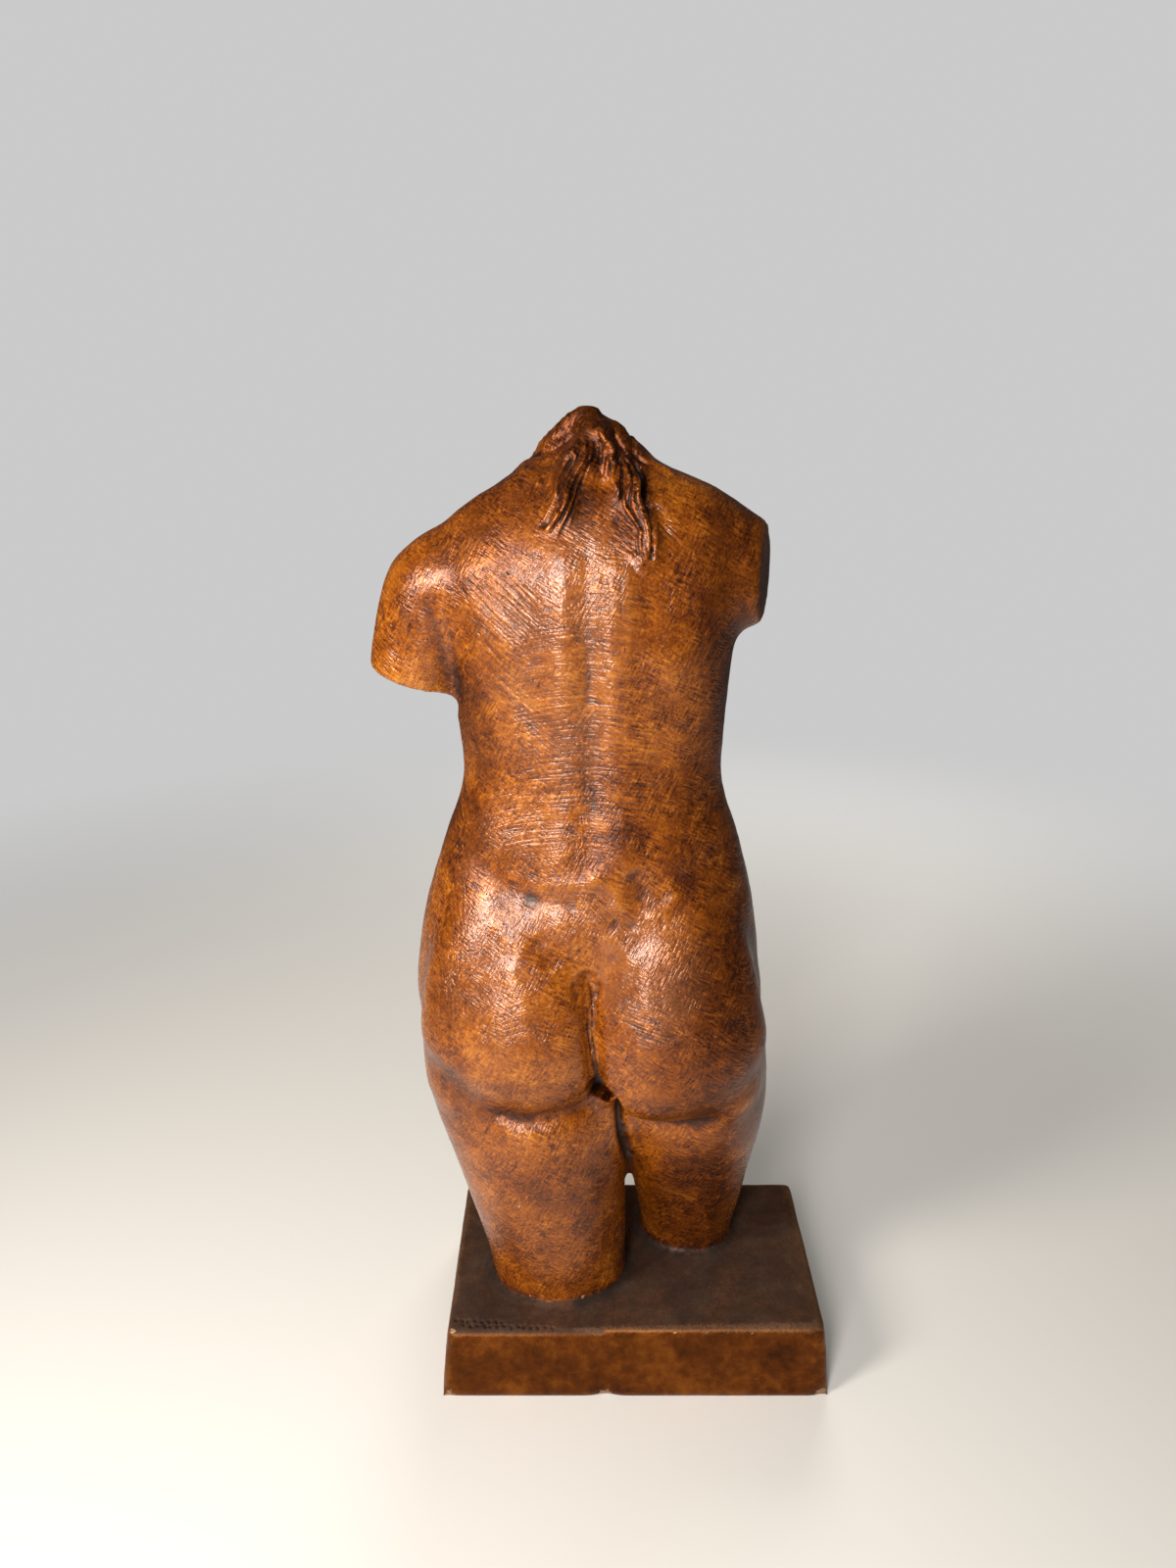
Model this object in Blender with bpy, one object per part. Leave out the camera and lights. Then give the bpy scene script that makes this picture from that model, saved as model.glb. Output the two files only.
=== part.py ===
"""A female torso cast in one with its plinth, seen from behind in the reference view.

Metres, +Z up. The origin is the centre of the plinth's underside. The figure turns its back to -Y.
The head and the right arm are cut away, the left arm ends halfway to the elbow and the thighs
grow out of the plinth.
"""

import bisect
import math

import bmesh
import bpy
import numpy as np
from mathutils import Matrix, Vector

# The plinth, in metres. Its sides stand out further at the bottom by the draft.
PLINTH_WIDTH = 0.245
PLINTH_DEPTH = 0.146
PLINTH_HEIGHT = 0.053
PLINTH_DRAFT = 0.005
PLINTH_EDGE = 0.0025
# Its top isn't level: the front left corner lies lower than the rest by this.
PLINTH_FALL = 0.004

# The figure, from the plinth's top to the nape. One part is a share of this height, and every
# place and size below is in parts: x to the photograph's right, y away from the viewer, z up
# from the plinth's top.
FIGURE_HEIGHT = 0.567
PARTS_IN_FIGURE = 567
PART = FIGURE_HEIGHT / PARTS_IN_FIGURE

# The thighs run down into the plinth by this share of its height, so that the cast is one body.
ROOT_SHARE = 0.5

# How finely the clay is fused, first as rough masses and then after the cuts, and how many
# triangles the finished figure keeps.
CLAY_GRAIN = 3.0
FINE_GRAIN = 1.6
FACET_COUNT = 9000

# A mass is lofted over rings of so many points, this far apart.
RING_SIDES = 40
RING_STEP = 7.0

# A stroke is drawn on one side of the figure. Its line is read at so many steps a span, and its
# first and last shares fade out.
BACK, FRONT = -1, 1
STROKE_STEPS = 6
STROKE_END = 0.15

PATINA_COLOUR = (0.30, 0.12, 0.04)


def clear_scene():
    for thing in list(bpy.data.objects):
        bpy.data.objects.remove(thing)


def curve_through(rows, step):
    """Rows of numbers, the first of them the height, read from a smooth curve at even heights."""
    rows = np.array(rows, float)
    heights = rows[:, 0]
    slopes = np.gradient(rows, heights, axis=0)
    count = max(2, int(round((heights[-1] - heights[0]) / step)) + 1)
    made = []
    for z in np.linspace(heights[0], heights[-1], count):
        i = min(max(bisect.bisect_right(list(heights), z) - 1, 0), len(rows) - 2)
        span = heights[i + 1] - heights[i]
        t = (z - heights[i]) / span
        start = (1 + 2 * t) * (1 - t) ** 2
        end = t * t * (3 - 2 * t)
        leave = t * (1 - t) ** 2 * span
        arrive = t * t * (t - 1) * span
        made.append(start * rows[i] + end * rows[i + 1] + leave * slopes[i] + arrive * slopes[i + 1])
    return made


def ring(bm, centre, half_width, back, front, squareness=2.0, turn=None):
    """One closed outline across a limb: back and front are how far it reaches behind and ahead."""
    turn = turn or Matrix.Identity(3)
    made = []
    for k in range(RING_SIDES):
        angle = 2 * math.pi * k / RING_SIDES
        c, s = math.cos(angle), math.sin(angle)
        reach = (abs(c) ** squareness + abs(s) ** squareness) ** (-1 / squareness)
        depth = front if s > 0 else back
        offset = Vector((half_width * reach * c, depth * reach * s, 0))
        made.append(bm.verts.new(Vector(centre) + turn @ offset))
    return [bm.edges.new((made[k], made[(k + 1) % RING_SIDES])) for k in range(RING_SIDES)], made


def loft(rings):
    """A closed skin over the rings, each given as the arguments of ring()."""
    bm = bmesh.new()
    outlines = [ring(bm, *values) for values in rings]
    for (lower, _), (upper, _) in zip(outlines, outlines[1:]):
        bmesh.ops.bridge_loops(bm, edges=lower + upper)
    bm.faces.new(outlines[0][1])
    bm.faces.new(outlines[-1][1])
    bmesh.ops.recalc_face_normals(bm, faces=bm.faces)
    return bm


def upright_mass(rows):
    """A mass of level slices: height, centre x, half width, back y, front y, squareness."""
    rings = []
    for z, x, half_width, back, front, squareness in curve_through(rows, RING_STEP):
        middle = (back + front) / 2
        rings.append(((x, middle, z), half_width, middle - back, front - middle, squareness))
    return loft(rings)


def slanting_mass(rows):
    """A mass along a slanting axis: height, x, y, half width, half depth, lean of the slices."""
    rings = []
    for z, x, y, half_width, half_depth, lean_x, lean_y in curve_through(rows, RING_STEP):
        turn = Matrix.Rotation(math.radians(lean_y), 3, "Y")
        turn = turn @ Matrix.Rotation(math.radians(lean_x), 3, "X")
        rings.append(((x, y, z), half_width, half_depth, half_depth, 2.0, turn))
    return loft(rings)


def round_mass(centre, radii, lean=0.0):
    """An egg-shaped mass, leant about the y axis by some degrees."""
    bm = bmesh.new()
    turn = Matrix.Rotation(math.radians(lean), 4, "Y")
    place = Matrix.Translation(centre) @ turn @ Matrix.Diagonal((*radii, 1))
    bmesh.ops.create_uvsphere(bm, u_segments=32, v_segments=20, radius=1, matrix=place)
    return bm


# The trunk from the crotch to the root of the neck.
TRUNK = [
    (112, -15, 26, -10, 34, 2.0),
    (124, -17, 56, -22, 46, 2.0),
    (140, -21, 84, -34, 54, 2.1),
    (165, -26, 105, -44, 60, 2.2),
    (200, -30, 112, -50, 65, 2.2),
    (235, -31, 109, -54, 67, 2.2),
    (270, -30, 103, -55, 67, 2.3),
    (310, -29, 92, -50, 61, 2.3),
    (350, -28.5, 79, -46, 55, 2.2),
    (390, -29, 80, -49, 55, 2.3),
    (430, -29.5, 83, -56, 56, 2.4),
    (460, -29, 87, -58, 54, 2.4),
    (485, -28, 92, -56, 50, 2.3),
    (505, -24, 85, -49, 44, 2.2),
    (518, -22, 69, -42, 42, 2.1),
    (530, -26, 46, -33, 44, 2.0),
    (543, -31, 29, -20, 46, 2.0),
    (556, -35, 18, -8, 46, 2.0),
]
# The neck leans forward from the shoulders.
NECK = [
    (490, -30, 6, 36, 38, 0, 0),
    (520, -34, 20, 32, 34, -14, 0),
    (550, -36, 33, 27, 30, -22, 0),
    (600, -38, 55, 26, 29, -26, 0),
]
LEFT_THIGH = [
    (0, -51, 46, -50, 32, 2.1),
    (37, -55, 49.5, -54, 38, 2.1),
    (69, -60, 54, -57, 43, 2.1),
    (101, -64.5, 58.5, -60, 48, 2.1),
    (132, -70.5, 62.5, -60, 52, 2.1),
    (170, -79, 61, -50, 54, 2.1),
    (215, -84, 50, -36, 50, 2.0),
]
RIGHT_THIGH = [
    (0, 40, 32, -3, 64, 2.1),
    (24, 40, 36, -10, 65, 2.1),
    (66, 38.5, 43, -24, 65, 2.1),
    (100, 37.5, 49, -38, 64, 2.1),
    (132, 36.5, 52, -48, 62, 2.1),
    (170, 32, 54, -46, 60, 2.1),
    (215, 26, 48, -36, 54, 2.0),
]
# The seat swells from the small of the back and rounds in over the thighs.
LEFT_SEAT = [
    (146, -60, 20, -48, 10, 2.0),
    (151, -61, 32, -58, 10, 2.0),
    (160, -65, 43, -66, 10, 2.0),
    (174, -71, 53, -72, 10, 2.0),
    (193, -75, 60, -76, 10, 2.0),
    (217, -75, 59, -73, 10, 2.0),
    (245, -74, 55, -65, 10, 2.0),
    (275, -71, 48, -55, 10, 2.0),
    (305, -66, 38, -42, 10, 2.0),
]
RIGHT_SEAT = [
    (136, 14, 20, -42, 10, 2.0),
    (141, 13, 33, -54, 10, 2.0),
    (151, 15, 45, -64, 10, 2.0),
    (166, 18, 54, -71, 10, 2.0),
    (188, 21, 60, -75, 10, 2.0),
    (215, 19, 58, -72, 10, 2.0),
    (245, 16, 54, -64, 10, 2.0),
    (275, 12, 47, -54, 10, 2.0),
    (305, 6, 38, -42, 10, 2.0),
]
# One breast about its own middle line, and where the two stand.
BREAST = [
    (392, 0, 16, 0, 50, 2.0),
    (399, 0, 26, 0, 66, 2.0),
    (411, 0, 34, 0, 78, 2.0),
    (427, 0, 37, 0, 82, 2.0),
    (444, 0, 35, 0, 76, 2.0),
    (464, 0, 31, 0, 64, 2.0),
    (486, 0, 24, 0, 50, 2.0),
]
BREAST_PLACES = (-72, 14)
LEFT_ARM = [
    (401, -137.5, 0, 26.5, 28, 0, 18),
    (420, -132, 0, 28, 30, 0, 18),
    (447, -121, -1, 33, 33, 0, 18),
    (470, -110, -2, 35, 35, 0, 24),
    (486, -100, -3, 25, 29, 0, 30),
]
# Egg-shaped masses, each with its centre, radii and lean in degrees: the crotch, the two hips
# under the seat, the two shoulders, the slopes from the neck out to them, and the hair gathered
# at the nape.
ROUND_MASSES = [
    ((-17, 2, 125), (22, 42, 42), 0),
    ((-102, -19, 166), (34, 38, 42), 8),
    ((49, -17, 160), (33, 38, 42), -8),
    ((-106, -4, 466), (38, 35, 37), 0),
    ((42, -4, 479), (50, 35, 35), 15),
    ((-86, -5, 500), (43, 28, 20), -34),
    ((28, -6, 508), (52, 28, 19), 26),
    ((-32, 2, 537), (14, 18, 38), -1),
]

# Where the cast was cut: a point on the cut, the way the cut faces and how far the cutter spreads.
NECK_CUT = ((-31, -4, 565), (0.0, 0.72, 0.69), 160)
ARM_CUT = ((-137, 0, 413.5), (-0.305, 0.0, -0.952), 66)
SHOULDER_CUT = ((71.5, 0, 475), (0.97, -0.244, 0), 110)

# Strokes seen from behind: points (x, z) of the line, its width, and its lift (+) or depth (-).
BACK_STROKES = [
    # the furrow of the spine and the muscles beside it
    ([(-31, 460), (-30, 420), (-30, 385), (-30, 350), (-31, 300)], 5.5, -2.4),
    ([(-50, 505), (-49, 450), (-46, 390), (-48, 330), (-54, 300)], 13, 1.8),
    ([(-14, 505), (-17, 450), (-15, 390), (-13, 330), (-8, 300)], 13, 1.8),
    # the lower edges of the shoulder blades
    ([(-100, 492), (-92, 462), (-78, 440), (-62, 426)], 15, 2.0),
    ([(42, 490), (34, 462), (20, 440), (4, 426)], 15, 1.8),
    # the hollows above the seat, from the hips in to the sacrum
    ([(-116, 318), (-98, 310), (-77, 300), (-50, 294)], 10, -1.8),
    ([(54, 314), (36, 306), (15, 297), (-8, 293)], 10, -1.8),
    # the cleft of the seat
    ([(-33, 250), (-30, 236), (-29, 215), (-27, 180), (-24, 146)], 3.4, -9),
    # the folds under the seat
    ([(-22, 156), (-36, 149), (-58, 145), (-78, 146), (-96, 151)], 4.0, -3.6),
    ([(-24, 152), (-8, 141), (12, 135), (36, 136), (56, 144)], 4.0, -4.4),
    # the slope of the neck on the left, with the valley above it
    ([(-34, 544), (-45, 538), (-55, 533), (-66, 527), (-84, 517)], 5.0, 3.6),
    ([(-36, 557), (-41, 548), (-50, 541), (-66, 534)], 4.2, -6.5),
]
# The gathered hair: its locks and the grooves that part them. They stand up more squarely.
LOCKS = [
    # the bundle under the rim of the neck
    ([(-29, 560), (-28, 550), (-27, 540), (-27, 530)], 6.5, 3.0),
    # two strands of the left lock, then the middle lock and the right one
    ([(-33, 562), (-34, 552), (-37, 541), (-43, 533), (-46, 524), (-47, 515), (-54, 502)], 3.2, 5.4),
    ([(-29, 562), (-29, 552), (-31, 541), (-37, 531), (-42, 522), (-42, 513), (-49, 500)], 3.2, 4.8),
    ([(-25, 556), (-24, 548), (-20, 538), (-17, 531), (-15, 523), (-14, 512)], 3.0, 4.4),
    ([(-24, 562), (-22, 553), (-16, 544), (-11, 536), (-7, 527), (-6, 520), (-1, 512), (2, 503), (2, 492),
      (1, 482)], 4.0, 6.2),
    # the grooves between them
    ([(-31, 552), (-33, 541), (-40, 531), (-44, 521), (-45, 512), (-51, 500)], 1.7, -2.8),
    ([(-27, 553), (-26, 543), (-24, 533), (-23, 520)], 2.8, -3.4),
    ([(-20, 550), (-14, 538), (-12, 527), (-11, 516)], 1.9, -3.8),
    # the deep groove on the far side of the right lock, and the thin ridge beyond it
    ([(-21, 558), (-15, 547), (-8, 537), (-1, 528), (2, 519), (7, 510), (9, 496)], 2.6, -4.8),
    ([(-18, 560), (-10, 550), (-2, 541), (6, 533)], 2.2, 1.6),
    # the hollow just under the rim
    ([(-44, 551), (-38, 557), (-30, 560), (-21, 558), (-12, 552)], 2.6, -2.6),
]
# The crease where the left arm meets the back.
ARMPIT = ([(-117, 470), (-112, 445), (-109, 420), (-108, 398)], 4.0, -4.5)
# Strokes seen from the front.
FRONT_STROKES = [
    # the breastbone and the line down the belly
    ([(-30, 478), (-29, 440), (-29, 400)], 9, -4.0),
    ([(-29, 392), (-30, 350), (-30, 305)], 7, -1.6),
    # the edge of the ribs
    ([(-30, 388), (-52, 372), (-80, 346)], 8, 1.8),
    ([(-30, 388), (-8, 372), (20, 346)], 8, 1.8),
    # the groin
    ([(-122, 232), (-88, 188), (-48, 152), (-20, 128)], 6, -3.4),
    ([(62, 232), (30, 188), (2, 152), (-14, 128)], 6, -3.4),
    # the collarbones
    ([(-46, 507), (-70, 508), (-98, 500)], 5, 2.2),
    ([(-14, 507), (10, 510), (40, 503)], 5, 2.2),
]
# Round places in front: middle (x, z), radii, and lift or depth. The belly, the navel and the nipples.
FRONT_TOUCHES = [
    ((-30, 232), (46, 38), 4.0),
    ((-30, 292), (4.2, 5.5), -5.0),
    ((-73, 424), (4.5, 4.5), 3.0),
    ((15, 424), (4.5, 4.5), 3.0),
]


def rooted(rows, root):
    """The same limb, running straight on below its lowest slice by the root's depth."""
    return [(-root, *rows[0][1:]), *rows]


def block_in():
    """The masses of clay as they are first put together, each a closed body."""
    root = ROOT_SHARE * PLINTH_HEIGHT / PART
    masses = [upright_mass(rows) for rows in (TRUNK, LEFT_SEAT, RIGHT_SEAT)]
    masses += [upright_mass(rooted(limb, root)) for limb in (LEFT_THIGH, RIGHT_THIGH)]
    masses += [upright_mass([(z, x, *rest) for z, _, *rest in BREAST]) for x in BREAST_PLACES]
    masses += [slanting_mass(rows) for rows in (NECK, LEFT_ARM)]
    masses += [round_mass(*place) for place in ROUND_MASSES]
    return masses


def new_object(name, mesh):
    made = bpy.data.objects.new(name, mesh)
    bpy.context.scene.collection.objects.link(made)
    return made


def joined(masses):
    """All the masses in one mesh, not yet fused."""
    mesh = bpy.data.meshes.new("clay")
    whole = bmesh.new()
    for mass in masses:
        mass.to_mesh(mesh)
        whole.from_mesh(mesh)
        mass.free()
    whole.to_mesh(mesh)
    whole.free()
    return new_object("clay", mesh)


def fuse(clay, grain, rounds):
    """One skin over all the masses, rubbed smooth."""
    remesh = clay.modifiers.new("Fuse", "REMESH")
    remesh.mode = "VOXEL"
    remesh.voxel_size = grain
    rub = clay.modifiers.new("Rub", "SMOOTH")
    rub.factor = 0.5
    rub.iterations = rounds


def cut(clay, name, on_plane, facing, spread):
    """Cuts the clay with a block that stands on a plane and faces away from what stays."""
    bm = bmesh.new()
    turn = Vector(facing).to_track_quat("Z", "Y").to_matrix().to_4x4()
    place = Matrix.Translation(on_plane) @ turn @ Matrix.Translation((0, 0, spread / 2))
    bmesh.ops.create_cube(bm, size=spread, matrix=place)
    mesh = bpy.data.meshes.new(name)
    bm.to_mesh(mesh)
    bm.free()
    block = new_object(name, mesh)
    block.hide_render = True
    block.display_type = "WIRE"
    boolean = clay.modifiers.new(name, "BOOLEAN")
    boolean.operation = "DIFFERENCE"
    boolean.object = block


def settle(thing):
    """The object with its modifiers applied."""
    bpy.context.view_layer.update()
    seen = thing.evaluated_get(bpy.context.evaluated_depsgraph_get())
    shape = bpy.data.meshes.new_from_object(seen)
    thing.modifiers.clear()
    thing.data = shape


class Skin:
    """The points of the clay and the way that each one faces, while strokes move them."""

    def __init__(self, mesh):
        self.mesh = mesh
        self.points = np.empty(len(mesh.vertices) * 3)
        mesh.vertices.foreach_get("co", self.points)
        self.points = self.points.reshape(-1, 3)
        self.read_normals()

    def read_normals(self):
        self.normals = np.empty(len(self.mesh.vertices) * 3)
        self.mesh.vertices.foreach_get("normal", self.normals)
        self.normals = self.normals.reshape(-1, 3)

    def write(self):
        self.mesh.vertices.foreach_set("co", self.points.ravel())
        self.mesh.update()
        self.read_normals()

    def facing(self, side):
        """1 where the skin faces one way, falling to 0 at the sides. What faces up counts as back."""
        outward = side * self.normals[:, 1]
        if side == BACK:
            outward += np.where(outward > -0.1, 0.5 * np.maximum(self.normals[:, 2], 0), 0)
        return np.clip(2 * outward, 0, 1)

    def stroke(self, path, width, lift, side, squareness=2):
        """Raises or presses the skin along a line drawn on the back or the front."""
        points = np.array(curve_points(path))
        reach = 3 * width
        flat = self.points[:, (0, 2)]
        inside = ((flat > points.min(axis=0) - reach) & (flat < points.max(axis=0) + reach)).all(axis=1)
        inside = np.flatnonzero(inside)
        flat = flat[inside]
        nearest = np.full(len(flat), np.inf)
        along = np.zeros(len(flat))
        for k, (start, end) in enumerate(zip(points, points[1:])):
            run = end - start
            t = np.clip((flat - start) @ run / (run @ run), 0, 1)
            away = np.linalg.norm(flat - start - t[:, None] * run, axis=1)
            closer = away < nearest
            nearest[closer] = away[closer]
            along[closer] = (k + t[closer]) / (len(points) - 1)
        ends = np.clip(np.minimum(along, 1 - along) / STROKE_END, 0, 1)
        ends = ends * ends * (3 - 2 * ends)
        amount = lift * np.exp(-((nearest / width) ** squareness)) * ends * self.facing(side)[inside]
        self.points[inside] += amount[:, None] * self.normals[inside]

    def touch(self, at, radii, lift, side):
        """Raises or presses one round place on the back or the front."""
        flat = (self.points[:, (0, 2)] - at) / radii
        amount = lift * np.exp(-(flat**2).sum(axis=1)) * self.facing(side)
        self.points += amount[:, None] * self.normals


def curve_points(path):
    """A line through a few points, read from a smooth curve."""
    path = [Vector(p).to_3d() for p in path]
    ends = [2 * path[0] - path[1], *path, 2 * path[-1] - path[-2]]
    made = []
    for before, start, end, after in zip(ends, ends[1:], ends[2:], ends[3:]):
        for k in range(STROKE_STEPS):
            t = k / STROKE_STEPS
            pull = (end - before) / 2
            push = (after - start) / 2
            made.append((2 * t**3 - 3 * t**2 + 1) * start + (t**3 - 2 * t**2 + t) * pull
                        + (3 * t**2 - 2 * t**3) * end + (t**3 - t**2) * push)
    made.append(path[-1])
    return [p[:2] for p in made]


def carve(skin):
    """The modelling of the back and the front, and last the hair over the back."""
    for stroke in [*BACK_STROKES, ARMPIT]:
        skin.stroke(*stroke, BACK)
    for stroke in FRONT_STROKES:
        skin.stroke(*stroke, FRONT)
    for touch in FRONT_TOUCHES:
        skin.touch(*touch, FRONT)
    skin.write()
    for lock in LOCKS:
        skin.stroke(*lock, BACK, squareness=3)
    skin.write()


def figure():
    clay = joined(block_in())
    fuse(clay, CLAY_GRAIN, 24)
    cut(clay, "neck_cut", *NECK_CUT)
    cut(clay, "arm_cut", *ARM_CUT)
    cut(clay, "shoulder_cut", *SHOULDER_CUT)
    fuse(clay, FINE_GRAIN, 6)
    settle(clay)
    skin = Skin(clay.data)
    carve(skin)
    rub = clay.modifiers.new("Rub", "SMOOTH")
    rub.factor = 0.5
    rub.iterations = 1
    facets = clay.modifiers.new("Facets", "DECIMATE")
    facets.ratio = FACET_COUNT / (2 * len(clay.data.polygons))
    settle(clay)
    clay.data.transform(Matrix.Translation((0, 0, PLINTH_HEIGHT)) @ Matrix.Scale(PART, 4))
    return clay


def plinth_block():
    """The slab, wider at the bottom by its draft, with its edges eased."""
    bm = bmesh.new()
    place = Matrix.Translation((0, 0, PLINTH_HEIGHT / 2))
    size = Matrix.Diagonal((PLINTH_WIDTH, PLINTH_DEPTH, PLINTH_HEIGHT, 1))
    bmesh.ops.create_cube(bm, size=1, matrix=place @ size)
    for v in bm.verts:
        if v.co.z < PLINTH_HEIGHT / 2:
            v.co.x += math.copysign(PLINTH_DRAFT, v.co.x)
            v.co.y += math.copysign(PLINTH_DRAFT, v.co.y)
        elif v.co.x < 0 and v.co.y < 0:
            v.co.z -= PLINTH_FALL
    eased = [e for e in bm.edges if max(v.co.z for v in e.verts) > PLINTH_HEIGHT / 2]
    bmesh.ops.bevel(bm, geom=eased, offset=PLINTH_EDGE, offset_type="OFFSET", segments=2, profile=0.5,
                    affect="EDGES", clamp_overlap=True, material=-1)
    mesh = bpy.data.meshes.new("plinth_block")
    bm.to_mesh(mesh)
    bm.free()
    block = new_object("plinth_block", mesh)
    block.hide_render = True
    block.display_type = "WIRE"
    return block


def patina():
    """A warm brown wax patina over bronze."""
    made = bpy.data.materials.new("patina")
    made.use_nodes = True
    shader = made.node_tree.nodes["Principled BSDF"]
    shader.inputs["Base Color"].default_value = (*PATINA_COLOUR, 1)
    shader.inputs["Roughness"].default_value = 0.42
    shader.inputs["Metallic"].default_value = 0.3
    return made


def main():
    clear_scene()
    torso = figure()
    torso.name = "torso"
    union = torso.modifiers.new("Plinth", "BOOLEAN")
    union.operation = "UNION"
    union.object = plinth_block()
    torso.data.materials.clear()
    torso.data.materials.append(patina())
    torso.data.shade_smooth()


main()
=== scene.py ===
"""A bronze torso cast together with its plinth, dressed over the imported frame.

The frame's solid gives every form. Here its skin is made even and finer, the hair and the creases
are cut again at their real sharpness, and the patina, the tool marks and the wear are laid on.
"""
import math

import bmesh
import bpy
import numpy as np
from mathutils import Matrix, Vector, noise


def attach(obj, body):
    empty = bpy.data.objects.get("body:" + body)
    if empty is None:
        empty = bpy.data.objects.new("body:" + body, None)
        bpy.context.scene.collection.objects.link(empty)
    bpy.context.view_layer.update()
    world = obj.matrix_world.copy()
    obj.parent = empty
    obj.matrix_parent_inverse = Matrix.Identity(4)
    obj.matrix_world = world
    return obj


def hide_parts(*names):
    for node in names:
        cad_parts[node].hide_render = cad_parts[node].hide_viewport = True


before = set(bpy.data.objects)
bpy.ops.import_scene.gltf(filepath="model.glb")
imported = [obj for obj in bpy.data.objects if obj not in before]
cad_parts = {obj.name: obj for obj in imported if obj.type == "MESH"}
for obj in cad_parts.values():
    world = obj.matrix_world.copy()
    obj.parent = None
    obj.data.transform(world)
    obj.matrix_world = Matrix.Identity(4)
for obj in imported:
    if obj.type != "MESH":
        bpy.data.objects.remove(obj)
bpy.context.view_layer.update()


# The skin of the cast: the figure and its plinth in one piece, with no seam.
# It was modelled in clay and cast in bronze, so its forms are soft and its skin is even.
MM = 0.001
PLINTH_TOP = 53.0
SKIN_GRAIN = 2.95
RUBS_ON_FIGURE = 4
RUBS_ON_NECK = 2
RUBS_ON_PLINTH = 1

def linked(name, mesh):
    """A new object of the scene with this mesh."""
    made = bpy.data.objects.new(name, mesh)
    bpy.context.scene.collection.objects.link(made)
    return made


def as_seen(thing):
    """The mesh of an object with its modifiers applied."""
    bpy.context.view_layer.update()
    return bpy.data.meshes.new_from_object(thing.evaluated_get(bpy.context.evaluated_depsgraph_get()))


def even_skin(node):
    """The solid's skin in small even faces, to be rubbed smooth where the figure is."""
    skin = bmesh.new()
    skin.from_mesh(node.data)
    bmesh.ops.remove_doubles(skin, verts=skin.verts, dist=0.001 * MM)
    cast = linked("cast", bpy.data.meshes.new("cast"))
    skin.to_mesh(cast.data)
    skin.free()
    even = cast.modifiers.new("Even", "REMESH")
    even.mode = "VOXEL"
    even.voxel_size = SKIN_GRAIN * MM
    cast.data = as_seen(cast)
    cast.modifiers.clear()
    return cast


def rub(bm, verts, rounds):
    """Smooths some points, so many rounds."""
    for _ in range(rounds):
        bmesh.ops.smooth_vert(bm, verts=verts, factor=0.5, use_axis_x=True, use_axis_y=True, use_axis_z=True)


cast = even_skin(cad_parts["torso"])
skin = bmesh.new()
skin.from_mesh(cast.data)
rub(skin, [v for v in skin.verts if (PLINTH_TOP + 5) * MM < v.co.z < (PLINTH_TOP + 500) * MM], RUBS_ON_FIGURE)
rub(skin, [v for v in skin.verts if v.co.z > (PLINTH_TOP + 495) * MM], RUBS_ON_NECK)
rub(skin, [v for v in skin.verts if v.co.z < (PLINTH_TOP + 5) * MM], RUBS_ON_PLINTH)


# The places with the finest work, whose faces are split: the hair at the nape, the cleft and the
# inscription's place. Each is a box in millimetres: x, y and height over the floor.
HAIR_BOX = ((-66, -70, PLINTH_TOP + 478), (22, 0, PLINTH_TOP + 568))
CLEFT_BOX = ((-62, -90, PLINTH_TOP + 128), (6, -34, PLINTH_TOP + 256))
INSCRIPTION_BOX = ((-119, -72, PLINTH_TOP - 8), (-42, -50, PLINTH_TOP + 3))


def split_faces(bm, box, times):
    """Splits the faces inside a box in four, so many times."""
    for _ in range(times):
        inside = []
        for face in bm.faces:
            middle = face.calc_center_median() / MM
            if all(lo < m < hi for lo, m, hi in zip(box[0], middle, box[1])):
                inside.append(face)
        edges = {edge for face in inside for edge in face.edges}
        bmesh.ops.subdivide_edges(bm, edges=list(edges), cuts=1, use_grid_fill=True)
        rub(bm, list({v for face in inside if face.is_valid for v in face.verts}), 1)


split_faces(skin, HAIR_BOX, 2)
split_faces(skin, CLEFT_BOX, 1)
split_faces(skin, INSCRIPTION_BOX, 2)
skin.to_mesh(cast.data)
skin.free()


# Carving: lines and touches of the modelling tool, in millimetres over the plinth's top.
# A line is drawn in x and height on the back or the front, or in x and y on a top, and lifts or
# presses the skin.
BACK, FRONT, TOP = -1, 1, 0
STEPS_A_SPAN = 8
NARROW = 1.6


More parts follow.
